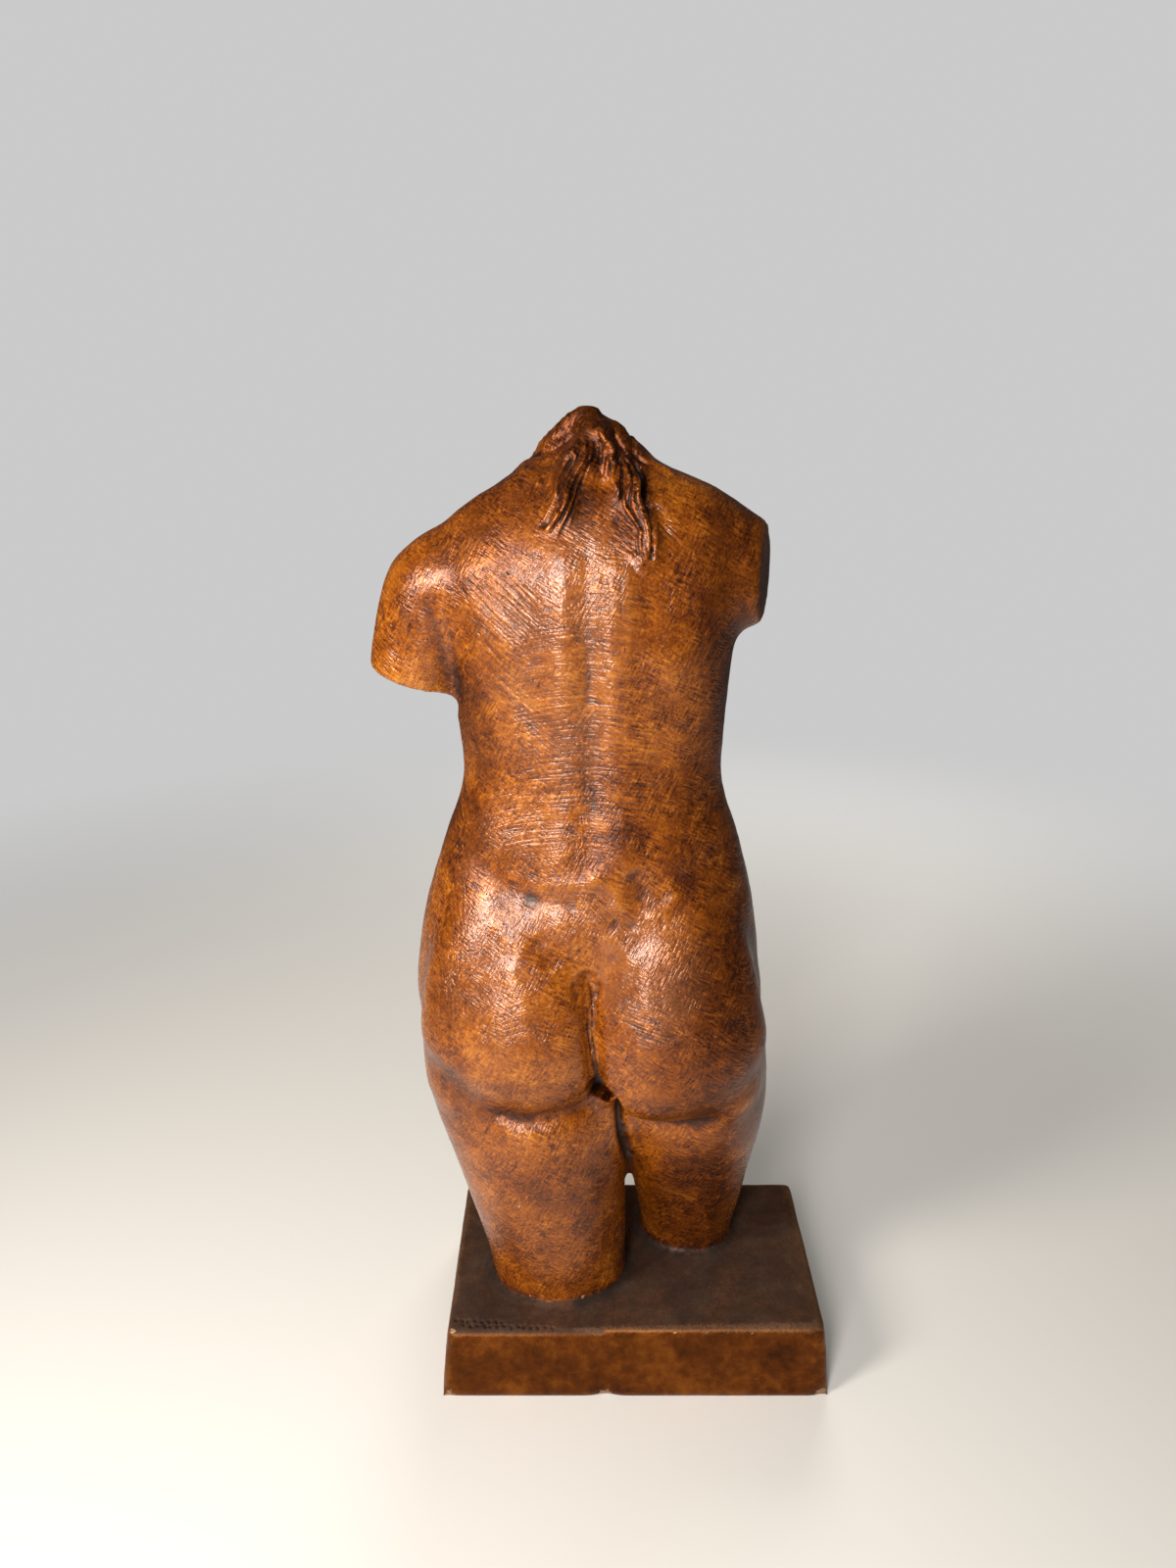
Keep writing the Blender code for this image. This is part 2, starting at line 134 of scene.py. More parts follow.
class Clay:
    """The skin's points and the way each one faces, in millimetres over the plinth's top."""

    def __init__(self, mesh):
        self.mesh = mesh
        self.points = np.empty(len(mesh.vertices) * 3)
        mesh.vertices.foreach_get("co", self.points)
        self.points = self.points.reshape(-1, 3) / MM - (0, 0, PLINTH_TOP)
        # Painted shade in the grooves of narrow cut lines, and painted highlight on narrow raised ones.
        self.painted_groove_shade = np.zeros(len(self.points))
        self.painted_strand_highlight = np.zeros(len(self.points))
        self.look()

    def look(self):
        """Reads which way each point faces."""
        self.normals = np.empty(len(self.points) * 3)
        self.mesh.vertices.foreach_get("normal", self.normals)
        self.normals = self.normals.reshape(-1, 3)

    def write(self):
        """Puts the moved points back in the mesh."""
        self.mesh.vertices.foreach_set("co", ((self.points + (0, 0, PLINTH_TOP)) * MM).ravel())
        self.mesh.update()
        self.look()

    def facing(self, side):
        """1 where the skin faces one way, falling to 0 at the sides. What faces up counts as back."""
        if side == TOP:
            return np.clip(2 * self.normals[:, 2] - 1, 0, 1)
        outward = side * self.normals[:, 1]
        if side == BACK:
            outward += np.where(outward > -0.1, 0.5 * np.maximum(self.normals[:, 2], 0), 0)
        return np.clip(2 * outward, 0, 1)

    def line(self, path, width, lift, side=BACK, squareness=2, fade=0.15):
        """Lifts or presses the skin along a line. The line's ends fade out."""
        points = np.array(path)
        reach = 3 * width
        flat = self.points[:, (0, 1)] if side == TOP else self.points[:, (0, 2)]
        near = ((flat > points.min(axis=0) - reach) & (flat < points.max(axis=0) + reach)).all(axis=1)
        near = np.flatnonzero(near)
        flat = flat[near]
        away = np.full(len(flat), np.inf)
        along = np.zeros(len(flat))
        for k, (start, end) in enumerate(zip(points, points[1:])):
            run = end - start
            t = np.clip((flat - start) @ run / (run @ run), 0, 1)
            here = np.linalg.norm(flat - start - t[:, None] * run, axis=1)
            closer = here < away
            away[closer] = here[closer]
            along[closer] = (k + t[closer]) / (len(points) - 1)
        ends = np.clip(np.minimum(along, 1 - along) / fade, 0, 1)
        ends = ends * ends * (3 - 2 * ends)
        amount = lift * np.exp(-((away / width) ** squareness)) * ends * self.facing(side)[near]
        if side == TOP:
            amount *= np.abs(self.points[near, 2]) < 12
        self.points[near] += amount[:, None] * self.normals[near]
        # A narrow line also paints shade into its groove, or a highlight onto its raised strand, for the
        # colour to darken or lighten.
        if width < NARROW:
            self.painted_groove_shade[near] = np.maximum(self.painted_groove_shade[near], np.clip(-amount / 1.6, 0, 1))
            self.painted_strand_highlight[near] = np.maximum(self.painted_strand_highlight[near], np.clip(amount / 1.6, 0, 1))

    def touch(self, at, radius, lift):
        """Lifts or presses the skin round one point in space."""
        away = np.linalg.norm(self.points - at, axis=1)
        amount = lift * np.exp(-((away / radius) ** 2))
        self.points += amount[:, None] * self.normals


def flowing(path):
    """A line through a few points, read from a smooth curve."""
    path = [Vector(p).to_3d() for p in path]
    ends = [2 * path[0] - path[1], *path, 2 * path[-1] - path[-2]]
    made = []
    for before, start, end, after in zip(ends, ends[1:], ends[2:], ends[3:]):
        for k in range(STEPS_A_SPAN):
            t = k / STEPS_A_SPAN
            leave = (end - before) / 2
            arrive = (after - start) / 2
            made.append((2 * t**3 - 3 * t**2 + 1) * start + (t**3 - 2 * t**2 + t) * leave
                        + (3 * t**2 - 2 * t**3) * end + (t**3 - t**2) * arrive)
    made.append(path[-1])
    return [tuple(p[:2]) for p in made]


def beside(path, offset, wave=0.0, waves=3.0, start=0.0):
    """The same line shifted to one side, swaying a little as a strand does."""
    points = np.array(path)
    runs = np.gradient(points, axis=0)
    across = np.stack([runs[:, 1], -runs[:, 0]], axis=1)
    across /= np.linalg.norm(across, axis=1)[:, None]
    sway = wave * np.sin(2 * math.pi * waves * np.linspace(0, 1, len(points)) + start)
    return points + across * (offset + sway)[:, None]


clay = Clay(cast.data)


# The hair: two ropy locks and a few short strands that come out from under the rim of the neck
# and lie on the upper back. They were rolled in clay, laid on and cut with a pointed tool.
LEFT_LOCK = [(-35.5, 555), (-34.3, 544), (-36, 537), (-41, 530), (-44, 524), (-44.3, 518),
             (-48, 510), (-53, 502)]
RIGHT_LOCK = [(-21, 552), (-14.6, 542), (-9.6, 536), (-6.8, 530), (-7, 525), (-7.6, 520),
              (-6, 515), (-3, 509), (-1.6, 504), (-1.5, 497), (-0.5, 491), (0.5, 486)]
# Lines cut or raised: the line, its width, and how far it lifts the skin.
HAIR_LINES = [
    ([(-36.5, 553), (-35.8, 543), (-43, 529.5), (-45.3, 522), (-48.2, 511.5)], 0.75, -1.3),
    ([(-27.5, 549), (-27.5, 542), (-31.2, 536.5), (-38, 528.5), (-40, 521.5), (-43, 515),
      (-48.2, 504)], 0.8, -1.4),
    ([(-31.2, 537), (-37.2, 521.5), (-40.8, 511.5), (-47.5, 500)], 0.7, -1.1),
    ([(-38, 544), (-44.6, 531.5), (-46.9, 522), (-50.4, 513), (-56.4, 503.5)], 1.5, -1.9),
    ([(-33, 549), (-32, 541), (-38, 531), (-42, 522.5), (-45, 513)], 1.1, 0.8),
    ([(-30, 545), (-30.5, 538), (-36, 529.5), (-38.8, 522), (-42, 512), (-47, 504)], 0.8, 0.9),
    ([(-46.5, 514), (-50, 508), (-53.5, 502.5)], 1.5, 1.6),
    ([(-25.3, 554.5), (-21.6, 547.3), (-19.3, 542.4), (-20.8, 535.3), (-21.5, 528)], 1.3, 1.5),
    ([(-22.6, 551), (-17.8, 543), (-17.4, 536), (-18.6, 530.5), (-16.5, 526), (-13.8, 521.8)], 1.0, 1.1),
    ([(-24.8, 549), (-24.6, 542), (-25.4, 536)], 1.1, -1.2),
    ([(-20.6, 544), (-19.2, 536), (-20.3, 530)], 0.6, -0.9),
    ([(-14.6, 540), (-13, 535), (-13.3, 527), (-13.6, 519)], 0.9, -1.7),
    ([(-11.9, 537), (-9.9, 531), (-10.5, 525.5), (-12, 520), (-11.3, 515), (-7.6, 510),
      (-4.2, 505), (-4, 497.5), (-1.9, 492)], 1.0, 1.4),
    ([(-12.6, 541), (-7.9, 534.5), (-8.6, 525), (-9.6, 517), (-5.6, 510), (-2.4, 504)], 0.55, -1.0),
    ([(-8.5, 537.5), (-4.6, 531), (-4.8, 523), (-3.4, 515), (-0.6, 508), (0.3, 498)], 0.9, 0.8),
    ([(-6.3, 531), (-6.4, 522), (-4.2, 514), (-1.6, 507), (-0.9, 497)], 0.5, -0.9),
    ([(-20.6, 555), (-13.1, 545.6), (-7, 538.6), (-1.5, 530.3), (-1.2, 521), (1.6, 513),
      (3, 507), (2.4, 495), (1.8, 488)], 1.4, -3.6),
    ([(-5, 492), (-1.8, 487.5)], 1.1, 1.2),
    ([(-8.6, 494), (-4.2, 486), (0.5, 482)], 2.4, 0.9),
]
# Each lock: its line, the width and lift of its body, and how far its strands spread.
LOCKS = [(LEFT_LOCK, 3.8, 2.0, 4.0), (RIGHT_LOCK, 3.6, 2.0, 3.4)]
STRANDS_A_LOCK = 5
SWAY = 0.6
SWAYS = 2.3
# Lumps along the locks, in space: where, radius and lift.
LOCK_LUMPS = [
    ((-36, -52, 534), 3, 0.7),
    ((-44, -56, 521), 3, 0.6),
    ((-50, -56, 507), 3.2, 0.9),
    ((-10, -52, 533), 3, 0.7),
    ((-8, -58, 519), 3, 0.6),
    ((-3, -60, 505), 2.6, 0.6),
    ((-2, -60, 491), 2.6, 0.8),
]
for lock, width, lift, _ in LOCKS:
    clay.line(flowing(lock), width, lift)
for path, width, lift in HAIR_LINES:
    clay.line(flowing(path), width, lift, squareness=3, fade=0.10)
for lock, _, _, spread in LOCKS:
    for k in range(STRANDS_A_LOCK):
        offset = (2 * k / (STRANDS_A_LOCK - 1) - 1) * spread
        strand = beside(flowing(lock), offset, SWAY, SWAYS, 2.1 * k)
        clay.line(strand, 0.8, -0.5)
        clay.line(beside(strand, 0.9), 0.7, 0.35)
for place, radius, lift in LOCK_LUMPS:
    clay.touch(place, radius, lift)
clay.write()

# The slopes of the neck beside the hair: a fold of muscle on each side with a valley over it.
# The rim of the cut neck is pressed in under its tip.
NECK_LINES = [
    ([(-75, 529), (-59, 534), (-51, 538), (-41, 542), (-37.5, 543.5)], 2.6, 1.9),
    ([(-66, 536), (-51, 543.5), (-43.5, 548), (-36.5, 553.5)], 2.1, -2.4),
    ([(-10.4, 549), (-6.6, 542.8), (-1.2, 538), (10, 533), (18, 529)], 1.4, 1.5),
    ([(-14.5, 552), (-10.1, 544.3), (-5.1, 539), (3, 534.5)], 0.9, -1.0),
]
# Touches that round out the neck's tip and its sides, in space: where, radius and lift.
NECK_TOUCHES = [
    ((-30, -30, 556), 5.0, -1.6),
    ((-33, -14, 567), 9.0, 2.7),
    ((-60, 0, 538), 8.0, 2.0),
    ((-15, -8, 557), 13.0, 3.8),
    ((-24, -8, 566), 7.0, 0.9),
    ((-46, -8, 560), 9.0, 3.0),
    ((-51, -6, 552), 9.0, 2.2),
    ((-4, -6, 546), 10.0, 2.4),
]
for path, width, lift in NECK_LINES:
    clay.line(flowing(path), width, lift)
for place, radius, lift in NECK_TOUCHES:
    clay.touch(place, radius, lift)
clay.write()


# The back between the shoulder blades and the waist: two long muscles with the spine's furrow
# between them. The right one has a crest, past which the light falls off at once.
BACK_LINES = [
    ([(-9.5, 520), (-9.5, 480), (-10, 440), (-10, 400), (-10, 350)], 3.2, 0.55),
    ([(-16, 500), (-18, 470), (-18, 440), (-17, 400), (-16, 350)], 5.5, 0.5),
    ([(-45, 505), (-44, 470), (-46, 440), (-46, 400)], 5.5, 0.6),
    ([(-33, 500), (-31, 470), (-31, 440), (-31, 400)], 3.6, -0.7),
    ([(-23, 488), (-22.5, 475), (-23, 462)], 2.4, -0.5),
    ([(-30, 420), (-30, 385), (-30, 350), (-31, 304)], 6.5, 0.9),
    ([(-100, 470), (-84, 455), (-70, 438)], 7, 0.8),
    ([(-88, 446), (-76, 428), (-64, 404), (-58, 384)], 5, -0.6),
]
for path, width, lift in BACK_LINES:
    clay.line(flowing(path), width, lift)
clay.write()


# The sacrum: a raised plate over the seat with an edge along its top, a dimple at each end,
# and thumbed clay below it. It catches the light in many small facets.
SACRUM_LINES = [
    ([(-82, 306), (-66, 301), (-47, 301), (-34, 302), (-22, 304)], 4.5, 1.3),
    ([(-72, 292), (-52, 290), (-36, 289)], 4.5, -1.3),
    ([(-34, 308), (-21, 303), (-13, 293), (-15, 284)], 4.0, 1.5),
    ([(10, 303), (20, 293), (13, 284), (0, 281)], 4.0, 1.4),
    ([(-7, 310), (-1, 298), (-3, 289)], 5.5, -1.2),
    ([(-2, 278), (-12, 276), (-18, 280)], 3.6, -1.0),
    ([(-50, 282), (-42, 270), (-36, 262)], 5.0, 1.0),
    ([(-62, 270), (-56, 258), (-50, 250)], 5.0, -0.9),
    ([(-30, 270), (-26, 262), (-24, 254)], 4.0, -0.6),
    ([(-20, 274), (-10, 262), (-4, 250)], 6.0, 1.0),
    ([(-88, 282), (-80, 270), (-73, 266), (-70, 256)], 4.5, 0.9),
    ([(-78, 258), (-73, 240), (-66, 222)], 6.0, 0.9),
    ([(4, 258), (2, 240), (6, 226)], 6.0, 0.8),
]
DIMPLE = ((-38, -55, 286), 5, -0.9)
for path, width, lift in SACRUM_LINES:
    clay.line(flowing(path), width, lift)
clay.touch(*DIMPLE)
clay.write()


# The seat's creases: the cleft, with a small hollow on each side of its head, and the folds over
# the thighs. The clay was pressed there with a finger, so the lines are soft. The head of the gap
# between the thighs is pressed twice.
SEAT_LINES = [
    ([(-32, 246), (-31, 225), (-30, 206), (-28, 191), (-26, 176)], 3.4, 3.2),
    ([(-39, 243), (-38.5, 236), (-36, 228)], 2.2, -1.6),
    ([(-25, 241), (-25.5, 235), (-27.5, 227)], 1.8, -1.5),
    ([(-42, 246), (-35, 250), (-29, 249.5), (-23, 245)], 2.4, 1.0),
    ([(-31.2, 238), (-31.6, 230), (-31.4, 222)], 1.2, 1.0),
    ([(-31.3, 226), (-30, 206), (-28, 191), (-26, 174), (-25.5, 166)], 1.0, -2.0),
    ([(-30, 172), (-25, 166), (-20, 162), (-14, 156)], 3.4, -4.5),
    ([(-26, 172), (-16, 160), (-11.5, 140), (-8.5, 120), (-5, 100), (-3, 76)], 2.8, -7.0),
    ([(-30, 172), (-25, 166), (-20, 162), (-14, 156)], 3.4, -4.5),
    ([(-26, 172), (-16, 160), (-11.5, 140), (-8.5, 120), (-5, 100), (-3, 76)], 1.5, -2.0),
    ([(-26, 168), (-35, 163), (-47, 157), (-61, 149), (-72, 145)], 3.0, -1.0),
    ([(-23, 166), (-18, 162), (-10, 154), (4, 148), (20, 146), (33, 148)], 2.8, -1.0),
    ([(20, 168), (26, 169), (32, 173)], 2.0, -0.4),
]
ARMPIT = [(-116, 468), (-111, 445), (-109, 420), (-108, 400)]
GAP_HEAD = [((-22, -49, 158), 5.0, -4.5), ((-27, -45, 160), 5.0, -3.0)]
# The narrow lines also paint shade into the cleft and down the head of the gap, and a highlight on the ridge
# in the cleft.
for path, width, lift in SEAT_LINES:
    clay.line(flowing(path), width, lift, fade=0.25)
clay.line(flowing(ARMPIT), 3.6, 1.9)
for place, radius, lift in GAP_HEAD:
    clay.touch(place, radius, lift)
clay.write()


# The unevenness of a skin pressed by thumb and tool: slow swells, then small dents.
# The plinth's faces are trowelled and wave less.
SWELLS = [(24.0, 0.42), (9.0, 0.20), (4.2, 0.10)]


def uneven(point):
    """How far the skin swells at a point, in millimetres."""
    height = 0.0
    for size, lift in SWELLS:
        height += lift * noise.noise(Vector(point) / size)
    return height


share = np.where(clay.points[:, 2] > 2, 1.0, 0.6)
share = np.where(clay.points[:, 2] < 0.5 - PLINTH_TOP, 0.0, share)
waves = np.array([uneven(p) for p in clay.points])
clay.points += (share * waves)[:, None] * clay.normals
clay.write()


# The plinth's wear: a dent in its bottom edge, knocked corners and a nick in the right thigh.
# Each is a place in millimetres over the plinth's top, its radius and its depth.
KNOCKS = [
    ((-20, -77, -PLINTH_TOP), 7, -1.6),
    ((123, -76, -50), 5, -1.8),
    ((-123, -75, -48), 5, -1.2),
    ((122, -72, -2), 4, -1.0),
    ((-121, -72, -5), 4, -0.9),
    ((5, -12, 48), 2.6, -1.0),
]
for place, radius, depth in KNOCKS:
    clay.touch(place, radius, depth)
clay.write()


# The inscription's place on the plinth's top: rows of shallow strokes, which are no letters.
# They were drawn in the clay with a point, so each has a soft edge and no raised rim.
STROKE_ROWS = [(-61.5, -118, -82), (-65.5, -112, -50)]
STROKE_PITCH = 4.4
STROKE_WIDTH = 0.85
STROKE_DEPTH = -1.7
STROKE_LEANS = (0.9, -0.5, 1.6, 0.3, -1.1)
STROKE_HEIGHTS = (2.8, 2.0, 3.2, 2.4)
STROKE_STEPS = (0.4, -0.3, 0.1)
ROW_SLOPE = 0.055

for row, (y, start, end) in enumerate(STROKE_ROWS):
    for k in range(int((end - start) / STROKE_PITCH)):
        x = start + STROKE_PITCH * k
        lean = STROKE_LEANS[(2 * k + row) % len(STROKE_LEANS)]
        tall = STROKE_HEIGHTS[(3 * k + row) % len(STROKE_HEIGHTS)]
        y_here = y - ROW_SLOPE * (x - start) + STROKE_STEPS[k % len(STROKE_STEPS)]
        stroke = [(x, y_here), (x + lean, y_here - tall)]
        clay.line(stroke, STROKE_WIDTH, STROKE_DEPTH, side=TOP, fade=0.05)
clay.write()


# Where the tool combed the clay, and which way. Each place is a soft patch on one side, in
# millimetres: x, height over the plinth's top, half width, half height, lean in degrees, strength.
COMBED_ACROSS = [
    (BACK, -38, 392, 40, 72, 0, 1.0), (BACK, -20, 462, 20, 34, 0, 0.8), (BACK, -62, 340, 30, 26, 0, 0.8),
    (BACK, -8, 372, 16, 40, 0, 0.9), (BACK, 8, 222, 20, 16, 0, 0.9), (BACK, -45, 300, 24, 16, 0, 0.4),
    (BACK, -60, 60, 20, 40, 0, 0.4), (BACK, 30, 90, 18, 36, 0, 0.4), (BACK, -60, 225, 26, 18, 0, 0.5),
    (FRONT, -30, 330, 46, 50, 0, 0.6), (FRONT, -70, 120, 26, 50, 0, 0.5), (FRONT, 20, 110, 24, 46, 0, 0.5),
]
COMBED_SLANTING = [
    (BACK, -78, 464, 20, 22, 0, 1.0), (BACK, -73, 415, 9, 48, 26, 1.0), (BACK, -24, 288, 13, 10, 0, 0.8),
    (BACK, -152, 440, 14, 28, 0, 0.7), (BACK, 2, 505, 22, 18, 0, 0.5), (BACK, 44, 300, 26, 22, 0, 0.5),
    (FRONT, -72, 430, 30, 30, 0, 0.4), (FRONT, 14, 430, 30, 30, 0, 0.4), (BACK, 52, 190, 16, 40, 0, 0.5),
]
COMBED_DOWN = [
    (BACK, 84, 470, 10, 46, 0, 1.0), (BACK, -34, 345, 4, 40, 0, 0.35), (BACK, -112, 352, 10, 44, 8, 0.8),
    (BACK, -112, 250, 12, 60, 0, 0.5), (BACK, -30, 200, 7, 40, 0, 0.5), (BACK, -140, 405, 30, 8, 16, 0.6),
    (FRONT, -30, 230, 40, 40, 0, 0.4), (BACK, 66, 380, 12, 60, 0, 0.5),
]


def patches(places):
    """How strongly each point of the skin lies inside some soft patches, from 0 to 1."""
    strength = np.zeros(len(clay.points))
    for side, x, z, half_wide, half_tall, lean, most in places:
        turn = math.radians(lean)
        right = clay.points[:, 0] - x
        up = clay.points[:, 2] - z
        across = (right * math.cos(turn) + up * math.sin(turn)) / half_wide
        along = (up * math.cos(turn) - right * math.sin(turn)) / half_tall
        soft = np.clip(1.6 * (1.25 - np.hypot(across, along)), 0, 1)
        soft = soft * soft * (3 - 2 * soft)
        strength = np.maximum(strength, most * soft * np.clip(3 * side * clay.normals[:, 1] + 0.3, 0, 1))
    return strength


def lay_on(name, values):
    """Keeps one value for each point of the skin, for the patina to read."""
    layer = clay.mesh.attributes.new(name, "FLOAT", "POINT")
    layer.data.foreach_set("value", values.astype(np.float32))


lay_on("combed_across", patches(COMBED_ACROSS))
lay_on("combed_slanting", patches(COMBED_SLANTING))
lay_on("combed_down", patches(COMBED_DOWN))


# Hollows and ridges: the patina lies dark and thick in a hollow and is rubbed thin on a ridge.
# Both are read from how far the skin lies under or over a smoothed copy of itself. Painted shade in
# the narrow cut grooves is added to the hollows, and a painted highlight on the narrow raised strands
# to the ridges.
def sunk(rounds):
    """How far each point lies under the skin smoothed by this many rounds, in millimetres."""
    edges = np.empty(len(clay.mesh.edges) * 2, dtype=np.int32)
    clay.mesh.edges.foreach_get("vertices", edges)
    one, other = edges.reshape(-1, 2).T
    count = len(clay.points)
    shares = np.bincount(one, minlength=count) + np.bincount(other, minlength=count)
    smooth = clay.points.copy()
    for _ in range(rounds):
        gathered = np.empty_like(smooth)
        for axis in range(3):
            gathered[:, axis] = (np.bincount(one, smooth[other, axis], count)
                                 + np.bincount(other, smooth[one, axis], count)) / shares
        smooth = 0.5 * smooth + 0.5 * gathered
    return ((smooth - clay.points) * clay.normals).sum(axis=1)


NARROW_ROUNDS = 4
WIDE_ROUNDS = 60
narrow = sunk(NARROW_ROUNDS)
wide = sunk(WIDE_ROUNDS)
patina_and_groove_shade = 1.5 * np.maximum(narrow - 0.06, 0) + 0.05 * np.maximum(wide - 0.5, 0) + 0.24 * clay.painted_groove_shade
worn_ridges_and_highlight = 1.8 * np.maximum(-narrow - 0.03, 0) + 0.10 * np.maximum(-wide - 0.3, 0) + 0.12 * clay.painted_strand_highlight
lay_on("hollow", np.clip(patina_and_groove_shade, 0, 1))
lay_on("ridge", np.clip(worn_ridges_and_highlight, 0, 1))


# Where the colour carries a painted sheen, painted shade or the patina's own darker blots, and where the
# patina is paler or worn, as the photograph shows it.
# The places are soft patches like those of the comb; the plinth's top is dark and dusty.
# Painted sheen: patches where a pale pinkish reflection tone is mixed into the colour; the wax also shines
# more there.
SHEEN = [
    (BACK, -48, 430, 36, 70, 0, 1.0), (BACK, -30, 460, 26, 50, 0, 1.2), (BACK, -78, 462, 22, 26, 0, 0.8),
    (BACK, -30, 288, 44, 18, 0, 0.7), (BACK, -90, 235, 34, 40, 0, 0.6), (BACK, 5, 250, 34, 40, 0, 1.2),
    (BACK, -70, 330, 26, 26, 0, 0.6), (BACK, -125, 440, 14, 24, 0, 0.2), (BACK, -60, 60, 30, 40, 0, 0.3),
    (FRONT, -30, 320, 50, 60, 0, 0.5), (FRONT, -72, 430, 34, 30, 0, 0.5), (FRONT, 14, 430, 34, 30, 0, 0.5),
]
# Painted shade, with a few of the patina's own darker blots: patches on the right side away from the lamps,
# under the rim of the neck, in the folds under the seat, at the head of the gap between the thighs and on the
# top of the left shoulder. They also make the skin duller and more metallic there.
DARK_TONE_AND_SHADE = [
    (BACK, -45, 545, 16, 14, 0, 0.6), (BACK, 50, 130, 40, 40, 0, 0.6),
    (BACK, -23, 158, 9, 6, -20, 2.6), (BACK, -92, 490, 26, 22, 0, 0.7), (BACK, -128, 465, 12, 16, 0, 0.5),
    (BACK, -28, 550, 26, 20, 0, 1.4), (BACK, -40, 522, 10, 22, 20, 1.2), (BACK, -8, 520, 10, 30, -10, 1.2),
    (BACK, 48, 205, 46, 80, 0, 1.0), (BACK, 54, 470, 34, 60, 0, 0.8), (BACK, 40, 60, 30, 60, 0, 1.0),
    (BACK, -50, 60, 40, 70, 0, 0.4), (BACK, 40, 330, 30, 60, 0, 0.5), (BACK, -70, 520, 50, 20, 0, 0.6),
    (BACK, -98, 395, 14, 40, 12, 0.8), (BACK, -104, 318, 18, 30, 0, 0.7), (BACK, -12, 328, 16, 12, 0, 0.7),
    (BACK, 60, 400, 26, 70, 0, 0.8), (BACK, 66, 300, 24, 40, 0, 0.7), (BACK, -30, 318, 12, 16, 0, 0.5),
    (BACK, 70, 215, 18, 60, 0, 0.7), (BACK, -118, 190, 14, 60, 0, 0.4), (BACK, 44, 60, 24, 50, 0, 0.6),
    (BACK, -66, 150, 40, 8, 0, 0.6), (BACK, 20, 142, 44, 8, 0, 0.6), (BACK, 60, 500, 22, 24, 0, 0.6),
    (FRONT, -30, 150, 60, 20, 0, 0.6), (FRONT, -110, 380, 20, 60, 0, 0.5), (FRONT, 60, 380, 20, 60, 0, 0.5),
]

lay_on("sheen", patches(SHEEN))
lay_on("darker", patches(DARK_TONE_AND_SHADE))

on_top = (clay.points[:, 2] < 3) & (clay.normals[:, 2] > 0.5) & (clay.points[:, 2] > -12)
lay_on("slab_top", on_top.astype(float))
on_sides = clay.points[:, 2] < 0.5
lay_on("slab", on_sides.astype(float))

# Pale places where the skin is knocked off: the slab's front arris, its corners and the rims of
# the thighs. Each is a place in millimetres over the plinth's top and its radius.
PALE = [(x, -72.5, -1.2, 1.9) for x in range(-118, -34, 5)]
PALE += [(26, -72.5, -4, 1.6), (45, -72.5, -4, 1.9), (76, -72.5, -4, 1.8)]
PALE += [(112, -72, -5, 2.2), (119, -71, -6, 2.0)]
PALE += [(-120, -71, -4, 3.0), (-20, -75, -52, 6), (122, -75, -51, 5), (-122, -75, -51, 4)]
PALE += [(x, -47 - 0.02 * (x + 48) ** 2 / 10, 2.0, 1.7) for x in range(-70, -26, 6)]
PALE += [(38, -5, -2, 2.6), (46, -4, -2, 2.4), (5, 17, 16, 2.4), (-27, -46, 24, 1.4), (-75, -57, 82, 1.8)]

pale = np.zeros(len(clay.points))
for x, y, z, radius in PALE:
    away = np.linalg.norm(clay.points - (x, y, z), axis=1)
    pale = np.maximum(pale, np.exp(-((away / radius) ** 2)))
lay_on("pale", pale)

cast.data.polygons.foreach_set("use_smooth", np.ones(len(cast.data.polygons), dtype=bool))
cast.data.materials.clear()


# The patina: a waxy orange-brown skin, mottled, with dark pigment in every scratch, and with painted shade,
# painted highlight and a painted sheen in its colour.
# It was brushed and stippled on warm metal, then waxed, so it shines softly on the ridges.
class Tone:
    """A value, colour or direction on its way through the patina's recipe."""

    def __init__(self, socket):
        self.socket = socket

    @classmethod
    def made(cls, kind, settings=None, sockets=None, out=0):
        """Adds one node of any kind: its settings first, then its sockets' values or links."""
        node = recipe.nodes.new(kind)
        for name, value in (settings or {}).items():
            if name == "stops":
                while len(node.color_ramp.elements) < len(value):
                    node.color_ramp.elements.new(0.5)
                for element, (place, colour) in zip(node.color_ramp.elements, value):
                    element.position = place
                    element.color = (*colour, 1)
            else:
                setattr(node, name, value)
        for key, value in (sockets or {}).items():
            if isinstance(value, Tone):
                recipe.links.new(value.socket, node.inputs[key])
            else:
                node.inputs[key].default_value = value
        return cls(node.outputs[out]) if node.outputs else None

    def sum(self, operation, *others):
        """One step of arithmetic with this value and others."""
        values = dict(enumerate((self, *others)))
        return Tone.made("ShaderNodeMath", {"operation": operation}, values)

    def __add__(self, other):
        return self.sum("ADD", other)

    def __radd__(self, other):
        return self.sum("ADD", other)

    def __sub__(self, other):
        return self.sum("SUBTRACT", other)

    def __rsub__(self, other):
        return Tone.made("ShaderNodeMath", {"operation": "SUBTRACT"}, {0: other, 1: self})

    def __mul__(self, other):
        return self.sum("MULTIPLY", other)

    def __rmul__(self, other):
        return self.sum("MULTIPLY", other)

    def __pow__(self, other):
        return self.sum("POWER", other)

    def rising(self, start, end):
        """0 before start, 1 after end, and a smooth rise between. It falls if start is over end."""
        settings = {"interpolation_type": "SMOOTHSTEP"}
        if start < end:
            return Tone.made("ShaderNodeMapRange", settings, {0: self, 1: start, 2: end, 3: 0.0, 4: 1.0})
        return Tone.made("ShaderNodeMapRange", settings, {0: self, 1: end, 2: start, 3: 1.0, 4: 0.0})

    def towards(self, colour, share):
        """This colour mixed with another by a share."""
        sockets = {0: share, 6: self, 7: colour if isinstance(colour, Tone) else (*colour, 1)}
        return Tone.made("ShaderNodeMix", {"data_type": "RGBA"}, sockets, out=2)


